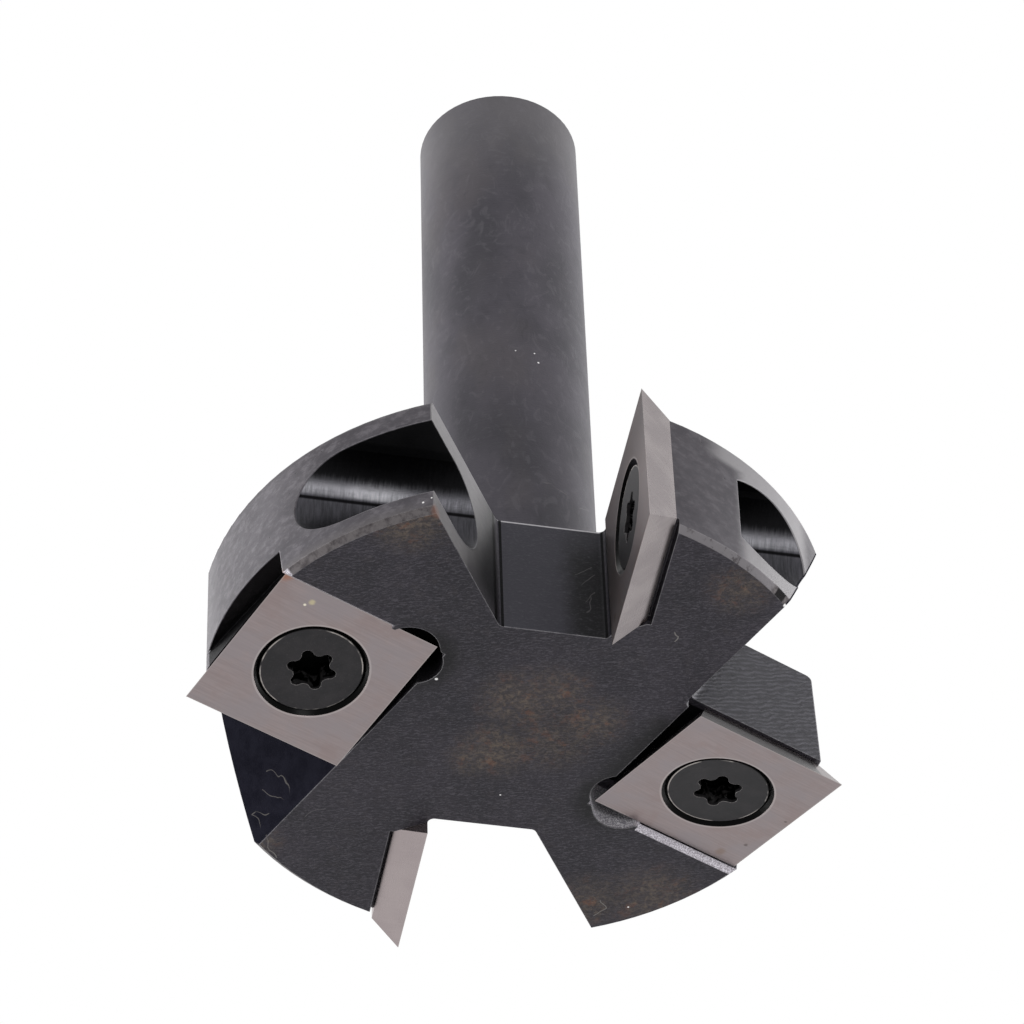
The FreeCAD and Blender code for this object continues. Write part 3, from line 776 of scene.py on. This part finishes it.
def add_pocket(g, m, base):
    """Bright coarse grain on the filed strip, and on the milled corner with painted light on its wall;
    painted shade on the pocket walls elsewhere, darker deeper down; painted light near the rim of pocket b's
    bowl, on pocket b's lower leaning wall and on the step under the lead facet.
    """
    glitter = g.noise(m.p, 13.0, detail=2.0, rough=0.6)
    base = g.mix(m.strip, base, g.mix(g.ramp(glitter, 0.42, 0.62), STRIP_DARK, STRIP_LIGHT))
    # coarse grain, with painted light where the milled wall is lit
    base = g.tint(base, m.mill_wall, 0.8, g.mix(g.ramp(glitter, 0.45, 0.62), MILL_DARK, MILL_LIGHT))
    # painted shade in the pocket, darker deeper down
    deep = g.ramp(m.z, *POCKET_DEEP, 0.1, 1.0)
    base = g.tint(base, m.dark_pocket, g.times(deep, 0.97), RECESS_DARK)
    # painted light on pocket b's lower leaning wall, in the face's tone
    base = g.mix(m.bare_edge, base, BOTTOM_LIGHT)
    # painted light near the rim of pocket b's bowl, fading into its painted shade deeper down
    bowl = g.times(m.in_pocket, m.upright, m.on_b, g.ramp(m.fx, *BOWL_X), g.ramp(m.fy, *BOWL_Y))
    base = g.tint(base, bowl, g.ramp(m.z, *BOWL_Z, 0.0, 0.85), BOWL_TONE)
    # painted light on the step under the lead facet, offsetting the shade under the insert's bevel
    step = g.times(g.between(m.z, *STEP_Z), g.ramp(m.fy, *STEP_Y), g.ramp(m.fx, *LEAD_FACET_X),
                   g.ramp(m.rise, *STEP_RISE), m.inside)
    return g.tint(base, step, 0.9, STEP_BRIGHT)


def add_bores(g, m, base):
    """Painted shade on the roof, one bright streaky painted highlight band, grey below it, a painted dark
    reflection line under the band, and painted shade on the flats.
    """
    round_it = g.join(g.times(m.sy, 6.0), g.times(m.bore_z, 0.5), g.times(m.bore_x, 0.5))
    m.streaks = g.noise(round_it, 1.0, rough=0.7)
    along = g.noise(g.join(g.times(m.sy, 0.5), g.times(m.bore_z, 1.5), 0.0), 1.0, detail=3.0, rough=0.6)
    wander = g.math("MULTIPLY_ADD", g.minus(m.streaks, 0.5), 0.8, m.z)
    # painted highlight band along the bore
    band = g.times(g.ramp(wander, *BAND_TOP_Z), g.ramp(m.z, *BAND_LOW_Z))
    slot_light = g.times(g.ramp(m.sy, *SLOT_LIGHT_IN_Y, 0.5, 1.0), g.ramp(m.sy, *SLOT_LIGHT_OUT_Y, 1.0, 0.1))
    light = g.times(g.most(slot_light, g.ramp(m.sy, *BACK_LIGHT_Y, 0.0, 0.45)),
                    g.ramp(along, 0.3, 0.6, 0.7, 1.0))
    # painted shade on the bore's roof
    roof = g.times(g.ramp(wander, *ROOF_Z), g.flip(g.times(band, 0.6)))
    m.roof = g.times(m.bore, roof)
    tone = g.mix(g.ramp(m.streaks, 0.3, 0.75), BORE_DARK, BORE_LIGHT)
    tone = g.mix(g.times(band, light), tone, g.mix(g.ramp(m.streaks, 0.3, 0.7), BAND_DARK, BAND_LIGHT))
    tone = g.tint(tone, roof, 0.95, ROOF_DARK)
    # painted dark reflection line under the band
    tone = g.tint(tone, g.between(m.z, *LINE_Z), 0.95, BORE_LINE)
    base = g.mix(m.bore, base, tone)
    # painted shade on the slot's flat walls
    return g.tint(base, m.flats, 0.97, FLATS_TONE)


def add_gullets(g, m, base):
    """Chatter lines on the lead facet, and polished navy on the leaning one."""
    along = g.plus(g.times(m.fx, CHATTER_COS), g.times(m.z, CHATTER_SIN))
    across = g.minus(g.times(m.z, CHATTER_COS), g.times(m.fx, CHATTER_SIN))
    drift = g.noise(g.join(g.times(along, 0.45), 0.0, g.times(across, 0.7)), 1.0, detail=3.0, rough=0.6)
    broken = g.noise(g.join(g.times(along, 0.9), 3.0, g.times(across, 3.0)), 1.0, detail=3.0, rough=0.6)
    m.chatter = g.math("SINE", g.plus(g.times(across, CHATTER_RATE), g.times(drift, CHATTER_RATE)))
    kept = g.ramp(broken, 0.36, 0.56)
    tone = g.mix(g.ramp(broken, 0.35, 0.65), LEAD_DARK, LEAD_LIGHT)
    tone = g.tint(tone, g.times(g.ramp(m.chatter, 0.4, 1.0), kept), 0.6, CHATTER_DARK)
    tone = g.tint(tone, g.times(g.ramp(m.chatter, -0.5, -1.0), kept), 0.35, CHATTER_LIGHT)
    base = g.mix(m.lead_facet, base, tone)
    return g.mix(m.side_facet, base, g.mix(g.ramp(m.cloud_fine, 0.3, 0.7), LEAN_DARK, LEAN_LIGHT))


def add_wear(g, m, base):
    """Worn edges with a painted highlight along them, outside the recesses."""
    m.soft_normal, bend = g.rounded(BODY_EDGE)
    edge = g.times(g.ramp(bend, 0.985, 0.86), g.ramp(m.worn, 0.3, 0.7, 0.35, 1.0))
    m.edge = g.times(edge, g.flip(m.dark_pocket), g.flip(m.corner_lines))
    # lighter edges: wear, and a painted highlight
    return g.tint(base, m.edge, 0.55, EDGE_BARE)


def add_marks(g, m, base):
    """Fibres, scratches, specks, pits and rust. The strokes' lines stray a little along the surface."""
    curl = g.noise(m.p, 0.9, detail=1.0, rough=0.5, output="Color")
    stray = g.vector("SCALE", g.vector("SUBTRACT", curl, (0.5, 0.5, 0.5)), scale=0.8)
    outwards = g.vector("SCALE", m.facing, scale=g.vector("DOT_PRODUCT", m.facing, stray))
    bent = g.shift(m.p, g.vector("SUBTRACT", stray, outwards))
    m.fibre = strokes(g, bent, FIBRES, FIBRE_WIDTH)
    base = g.tint(base, m.fibre, 0.75, FIBRE_TONE)
    base = g.tint(base, strokes(g, bent, SCRATCHES, SCRATCH_WIDTH), 0.32, SCRATCH_TONE)
    base = g.tint(base, dots(g, m.p, SPECKS), 0.95, DUST_WHITE)
    base = g.tint(base, dots(g, m.p, PITS), 0.8, PIT_DARK)
    return g.tint(base, dots(g, m.p, RUST), 0.45, RUST_TONE)


def body_normal(g, m):
    """Relief over an evened normal: straight on the face and shank, and bent on the leaning facet."""
    rings = g.noise(g.join(g.times(m.r, 2.0), 0.0, g.times(m.z, 6.0)), 1.0, detail=3.0, rough=0.6)
    height = g.plus(g.times(m.grain, 0.6), g.times(m.scuffs, 0.8))
    height = g.plus(height, g.times(g.most(m.rim, m.shank), rings, 0.35))
    height = g.plus(height, g.times(m.lead_facet, m.chatter, -0.8))
    height = g.plus(height, g.times(m.bore, m.streaks, 1.5))
    height = g.minus(height, g.times(m.rim, m.pits, 1.5))
    height = g.plus(height, g.times(m.fibre, 1.5))
    height = g.plus(height, g.times(g.most(m.bottom, m.floor_wall), m.leather, 1.6))
    even = g.mix(m.bottom, m.soft_normal, g.join(0.0, 0.0, -1.0))
    round_shank = g.times(m.shank, m.upright, g.between(m.z, *ROUND_SHANK_Z))
    even = g.mix(round_shank, even, g.vector("NORMALIZE", g.join(m.x, m.y, 0.0)))
    even = g.mix(g.times(m.side_facet, 0.6), even, g.join(-0.2, -0.72, -0.66))
    return g.bump(height, 0.35, 0.04 * MM, even)


def black_oxide():
    """Blackened tool steel of the cutter body, with its machined and worn places."""
    material = bpy.data.materials.new("black_oxide")
    g = Graph(material)
    m = body_places(g)
    base = cutting_face(g, m)
    base = g.mix(m.rim, base, rim_tone(g, m))
    base = g.mix(m.shank, base, shank_tone(g, m))
    for add_part in (add_chamfer, add_notch, add_pocket, add_bores, add_gullets, add_wear, add_marks):
        base = add_part(g, m, base)
    rough = g.plus(0.42, g.times(m.cloud_fine, 0.16))
    rough = g.minus(rough, g.times(m.bore, 0.1))
    rough = g.plus(rough, g.times(m.side_facet, 0.35))
    recess = g.most(m.dark_pocket, m.corner_lines, m.flats, m.roof, m.burr, m.side_facet)
    bare = g.most(g.times(m.chamfer, 0.4), m.strip, m.bore, m.edge, recess)
    metal = g.math("ADD", 0.5, g.times(bare, 0.48), clamp=True)
    g.principled(base, metal, rough, body_normal(g, m), SPECULAR)
    return material


# Inserts and screws

def insert_axes(kind, half):
    """Origin and axes of one insert in millimetres: along, across, into the body."""
    deg = (SIDE_DEG if kind == "side" else FACE_DEG) + half
    ax, ay = (Vector(v) for v in axes(deg))
    up = Vector((0, 0, 1))
    if kind == "side":
        origin = ax * (SIDE_AXIS_X - INSERT / 2) + ay * RAKE + up * INSERT
        return origin, ax, -up, ay
    origin = ax * FACE_INNER - ay * FACE_LEAD
    across = ay * math.cos(FACE_TILT) + up * math.sin(FACE_TILT)
    into = up * math.cos(FACE_TILT) - ay * math.sin(FACE_TILT)
    return origin, ax, across, into


class InsertPlace:
    """Coordinates on one insert: p, then u, v and w along its axes, and du, dv and rho from its middle."""

    def __init__(self, g, kind, half):
        origin, *directions = insert_axes(kind, half)
        self.p = g.vector("SUBTRACT", g.millimetres(), tuple(origin))
        self.u, self.v, self.w = [g.vector("DOT_PRODUCT", self.p, tuple(d)) for d in directions]
        self.du = g.minus(self.u, INSERT / 2)
        self.dv = g.minus(self.v, INSERT / 2)
        self.rho = g.hypot(self.du, self.dv)


def bevel_tone(g, at, moved, name, kind):
    """Smooth ground bevels; a flat insert's leading one carries a painted dark reflection, away from its
    outer corner.
    """
    smooth = g.noise(moved, 0.35, detail=2.0, rough=0.5)
    ground = g.noise(g.join(g.times(g.plus(at.du, at.dv), 6.0), g.times(at.w, 0.5), 0.0), 1.0,
                     detail=3.0, rough=0.6)
    blend = g.plus(g.times(smooth, 0.7), g.times(ground, 0.3))
    tone = g.mix(g.ramp(blend, 0.38, 0.62), BEVEL_DARK, BEVEL_LIGHT)
    if name == "side_b":
        tone = g.mix(0.5, tone, BEVEL_SIDE_B)
    if kind == "face":
        # painted dark reflection of the facet behind the leading bevel
        lead = g.times(g.ramp(at.v, *LEAD_BEVEL_V), g.ramp(at.u, *LEAD_BEVEL_U))
        tone = g.tint(tone, lead, 0.85, LEAD_BEVEL)
    return tone


def carbide(name, kind, half, seed):
    """Ground carbide: faint straight grinding lines on the large face, smooth bevels."""
    material = bpy.data.materials.new(name)
    g = Graph(material)
    at = InsertPlace(g, kind, half)
    face = g.ramp(at.w, *LARGE_FACE_W)
    bevel = g.flip(face)
    su = g.plus(at.u, seed)
    moved = g.join(su, at.v, at.w)
    fine = g.noise(g.join(g.times(su, 0.35), g.times(at.v, 8.0), g.times(at.w, 8.0)), 1.0, rough=0.7)
    broad = g.noise(g.join(g.times(su, 0.2), g.times(at.v, 1.6), at.w), 1.0, detail=3.0, rough=0.6)
    cloud = g.noise(moved, 0.28, rough=0.6)
    lines = g.plus(g.times(fine, 0.75), g.times(broad, 0.25))
    base = g.mix(g.ramp(lines, 0.3, 0.7), FACE_DARK, FACE_LIGHT)
    base = g.layers(base, [(cloud, 0.45, 0.62, 0.5, FACE_COOL), (cloud, 0.46, 0.36, 0.4, FACE_WARM)])
    # painted shade: a standing insert is darker towards its top and lighter towards its bottom
    if kind == "side":
        fade = g.ramp(at.v, *SIDE_FADE_V, 0.45, 1.15)
        base = g.mix(1.0, base, g.join(fade, fade, fade), blend="MULTIPLY")
    base = g.mix(bevel, base, bevel_tone(g, at, moved, name, kind))
    on_face = g.join(at.u, at.v, 0.0)
    for (u, v), size, tone in INSERT_MARKS[name]:
        away = g.vector("DISTANCE", on_face, (u, v, 0.0))
        ragged = g.math("MULTIPLY_ADD", g.minus(fine, 0.5), size * 0.8, away)
        base = g.layers(base, [(ragged, size, size * 0.3, 0.8, tone)])
    hole = g.times(g.ramp(at.rho, *HOLE_RADII), g.ramp(at.w, *HOLE_W))
    base = g.mix(hole, base, HOLE_DARK)
    base = g.tint(base, g.times(g.near(at.rho, LIP_RADIUS, LIP_WIDTH), face), 0.35, LIP_BRIGHT)
    square = g.most(g.math("ABSOLUTE", at.du), g.math("ABSOLUTE", at.dv))
    honed = g.times(g.ramp(square, *HONED_EDGE), face)
    base = g.tint(base, honed, 0.4, HONED_BRIGHT)
    height = g.times(g.plus(fine, g.times(cloud, 0.3)), face)
    rough = g.minus(g.plus(0.3, g.times(lines, 0.12)), g.times(bevel, 0.08))
    g.principled(base, 0.95, rough, g.bump(height, 0.2, 0.02 * MM))
    return material


def screw_steel(name, kind, half, seed):
    """Blackened screw: flat satin head, thin bright line on part of its edge, dark six-lobe socket with
    glints and a painted highlight on its rim edges.
    """
    material = bpy.data.materials.new(name)
    g = Graph(material)
    at = InsertPlace(g, kind, half)
    q = g.shift(at.p, (seed, 0.0, 0.0))
    cloud = g.noise(q, 0.8, detail=5.0, rough=0.65)
    grain = g.noise(q, 10.0, rough=0.7)
    base = g.mix(g.ramp(cloud, 0.35, 0.68), SCREW_DARK, SCREW_LIGHT)
    base = g.layers(base, [(grain, 0.56, 0.72, 0.3, SCREW_GRAIN)])
    line = g.times(g.near(at.rho, LINE_RADIUS, LINE_WIDTH), g.ramp(at.w, *LINE_W),
                   g.ramp(g.noise(q, 0.45, detail=3.0, rough=0.6), 0.44, 0.56))
    base = g.tint(base, line, 0.85, SCREW_LINE)
    gap = g.most(g.ramp(at.rho, *GAP_RADII), g.ramp(at.w, *GAP_W))
    base = g.tint(base, gap, 0.96, SCREW_GAP)
    in_socket = g.ramp(at.rho, *SOCKET_RADII)
    glint = g.times(in_socket, g.between(at.w, *GLINT_W),
                    g.ramp(g.noise(q, 1.7, detail=3.0, rough=0.6), 0.46, 0.6))
    base = g.tint(base, glint, 0.75, SOCKET_GLINT)
    soft_normal, bend = g.rounded(SCREW_EDGE)
    # painted highlight on the socket's rim edges
    edge = g.times(g.ramp(bend, 0.98, 0.85), in_socket, g.ramp(at.w, *SCREW_EDGE_W),
                   g.ramp(cloud, 0.36, 0.52))
    base = g.tint(base, edge, 0.7, SCREW_BARE)
    normal = g.bump(g.plus(grain, cloud), 0.3, 0.03 * MM, soft_normal)
    rough = g.plus(0.40, g.times(cloud, 0.16))
    metal = g.math("ADD", 0.5, g.times(g.most(line, gap, edge), 0.48), clamp=True)
    g.principled(base, metal, rough, normal, SPECULAR)
    return material


def dress(node, material):
    node.data.materials.clear()
    node.data.materials.append(material)


def dress_all():
    dress(nodes["cutter_body"], black_oxide())
    for tag, half, tag_seed in (("a", 0.0, 0.0), ("b", 180.0, 17.0)):
        for kind, kind_seed in (("side", 0.0), ("face", 5.0)):
            seed = tag_seed + kind_seed
            dress(nodes[kind + "_insert_" + tag], carbide(kind + "_" + tag, kind, half, seed))
            steel = screw_steel(kind + "_screw_steel_" + tag, kind, half, seed)
            dress(nodes[kind + "_screw_" + tag], steel)


# Studio

def studio_floor():
    """Pale from above with the shadow on it, fading out with distance, and clear from below."""
    material = bpy.data.materials.new("pale_floor")
    g = Graph(material)
    path = g.add("ShaderNodeLightPath").outputs
    back = g.add("ShaderNodeNewGeometry").outputs["Backfacing"]
    place = g.metres()
    x, y, _ = g.split(place)
    seen = g.times(path["Is Camera Ray"], g.flip(back), g.ramp(g.hypot(x, y), *FLOOR_FADE))
    pale = g.add("ShaderNodeBsdfDiffuse")
    g.put(pale.inputs["Color"], g.mix(g.noise(place, 30.0, detail=3.0), *FLOOR_TONES))
    clear = g.add("ShaderNodeBsdfTransparent")
    blend = g.add("ShaderNodeMixShader")
    for socket, value in zip(blend.inputs, (seen, clear.outputs[0], pale.outputs[0])):
        g.put(socket, value)
    g.finish(blend.outputs[0])
    mesh = bpy.data.meshes.new("floor")
    corners = [(sx * FLOOR_HALF, sy * FLOOR_HALF, 0) for sx, sy in ((-1, -1), (1, -1), (1, 1), (-1, 1))]
    mesh.from_pydata(corners, [], [(0, 1, 2, 3)])
    mesh.materials.append(material)
    floor = bpy.data.objects.new("floor", mesh)
    scene.collection.objects.link(floor)
    floor.location = (0, 0, -FLOOR_DROP)


def studio_world():
    """A soft room light, and white for what is seen directly, mirrored or through something clear."""
    scene.world = bpy.data.worlds.new("studio")
    g = Graph(scene.world, "ShaderNodeOutputWorld")
    path = g.add("ShaderNodeLightPath").outputs
    seen = g.most(path["Is Camera Ray"], path["Is Glossy Ray"], path["Is Transmission Ray"])
    shades = []
    for strength in (ROOM_STRENGTH, WHITE_STRENGTH):
        shade = g.add("ShaderNodeBackground")
        shade.inputs["Color"].default_value = WHITE
        shade.inputs["Strength"].default_value = strength
        shades.append(shade.outputs[0])
    blend = g.add("ShaderNodeMixShader")
    for socket, value in zip(blend.inputs, (seen, *shades)):
        g.put(socket, value)
    g.finish(blend.outputs[0])


def soft_light(name, position, size, power):
    lamp = bpy.data.lights.new(name, "AREA")
    lamp.shape = "RECTANGLE"
    lamp.size, lamp.size_y = size
    lamp.energy = power
    obj = bpy.data.objects.new(name, lamp)
    scene.collection.objects.link(obj)
    obj.location = position
    obj.rotation_mode = "QUATERNION"
    obj.rotation_quaternion = (Vector(LIGHT_AIM) - Vector(position)).to_track_quat("-Z", "Y")


def photo_camera():
    cam = bpy.data.cameras.new("camera")
    cam.sensor_width = SENSOR_MM
    cam.lens = LENS_MM
    cam.shift_x, cam.shift_y = LENS_SHIFT
    cam.clip_start, cam.clip_end = CLIP
    obj = bpy.data.objects.new("camera", cam)
    scene.collection.objects.link(obj)
    right, up = Vector(CAMERA_RIGHT), Vector(CAMERA_UP)
    turn = Matrix((right, up, right.cross(up))).transposed().to_4x4()
    obj.matrix_world = Matrix.Translation(Vector(CAMERA_MM) * MM) @ turn
    scene.camera = obj


dress_all()
studio_floor()
studio_world()
for light in SOFT_LIGHTS:
    soft_light(*light)
photo_camera()

scene.view_settings.view_transform = "Standard"
